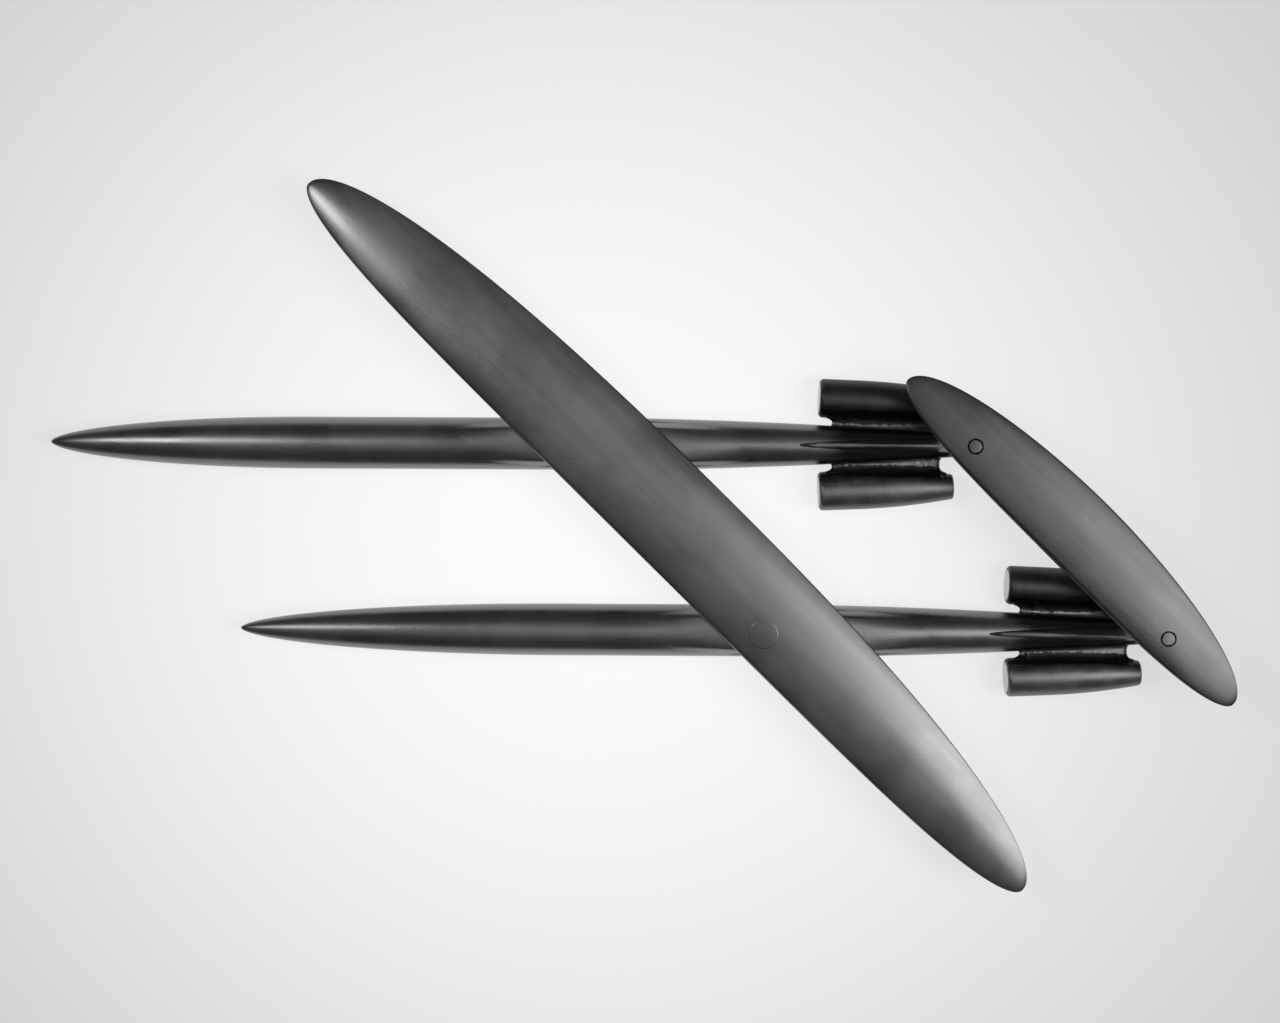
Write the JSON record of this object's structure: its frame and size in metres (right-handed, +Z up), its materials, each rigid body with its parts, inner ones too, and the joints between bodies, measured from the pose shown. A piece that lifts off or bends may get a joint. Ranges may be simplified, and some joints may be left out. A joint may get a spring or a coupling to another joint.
{
  "type": "twin-fuselage oblique-wing aircraft model",
  "caption": "Bench model of an oblique-wing aircraft: two parallel fuselages under one pivoting wing and one pivoting tailplane, with turned nacelles on short pylons.",
  "frame": {"origin": "middle of the overall box at its lowest level, the surface that the model stands on", "axes": "+X aft along the fuselages, +Y to starboard, the side of the fuselage that is further forward, +Z up along the pivots"},
  "size_m": [0.5746, 0.3428, 0.0415],
  "materials": {
    "dark_satin_metal": "dark satin, fine lengthwise scratches",
    "filed_metal": "dark satin over coarse filing",
    "turned_metal": "dark satin with fine turning rings, paler flat front face",
    "brazed_metal": "uneven, wavy, semi-bright",
    "pivot_steel": "satin, faint turning marks",
    "bush_bronze": "machined"
  },
  "bodies": {
    "starboard_fuselage_assembly": {"starboard_fuselage": "dark_satin_metal", "starboard_wing_saddle": "filed_metal", "starboard_wing_pivot_screw": "pivot_steel", "starboard_fin": "filed_metal", "starboard_tail_pivot_pin": "pivot_steel", "starboard_outboard_pylon": "brazed_metal", "starboard_outboard_nacelle": "turned_metal", "starboard_inboard_pylon": "brazed_metal", "starboard_inboard_nacelle": "turned_metal"},
    "port_fuselage_assembly": {"port_fuselage": "dark_satin_metal", "port_wing_saddle": "filed_metal", "port_wing_pivot_screw": "pivot_steel", "port_fin": "filed_metal", "port_tail_pivot_pin": "pivot_steel", "port_outboard_pylon": "brazed_metal", "port_outboard_nacelle": "turned_metal", "port_inboard_pylon": "brazed_metal", "port_inboard_nacelle": "turned_metal"},
    "wing_assembly": {"main_wing": "dark_satin_metal", "starboard_wing_pivot_bush": "bush_bronze", "starboard_wing_pivot_plug": "pivot_steel", "port_wing_pivot_bush": "bush_bronze", "port_wing_pivot_plug": "pivot_steel"},
    "tailplane_assembly": {"tailplane": "dark_satin_metal"}
  },
  "joints": [
    {"name": "wing_sweep", "type": "hinge", "parent": "starboard_fuselage_assembly", "child": "wing_assembly", "pos_m": [-0.03126, 0.04507, 0.0272], "axis": [0, 0, 1], "range_deg": [-45.5, 14.5]},
    {"name": "port_fuselage_swing", "type": "hinge", "parent": "wing_assembly", "child": "port_fuselage_assembly", "pos_m": [0.06146, -0.04605, 0.0272], "axis": [0, 0, 1], "range_deg": [-14.5, 45.5]},
    {"name": "tailplane_sweep", "type": "hinge", "parent": "starboard_fuselage_assembly", "child": "tailplane_assembly", "pos_m": [0.16074, 0.04507, 0.0373], "axis": [0, 0, 1], "range_deg": [-45.5, 14.5]}
  ],
  "couplings": [
    {"joint": "port_fuselage_swing", "follows": "wing_sweep", "ratio": -1},
    {"joint": "tailplane_sweep", "follows": "wing_sweep", "ratio": 1}
  ]
}
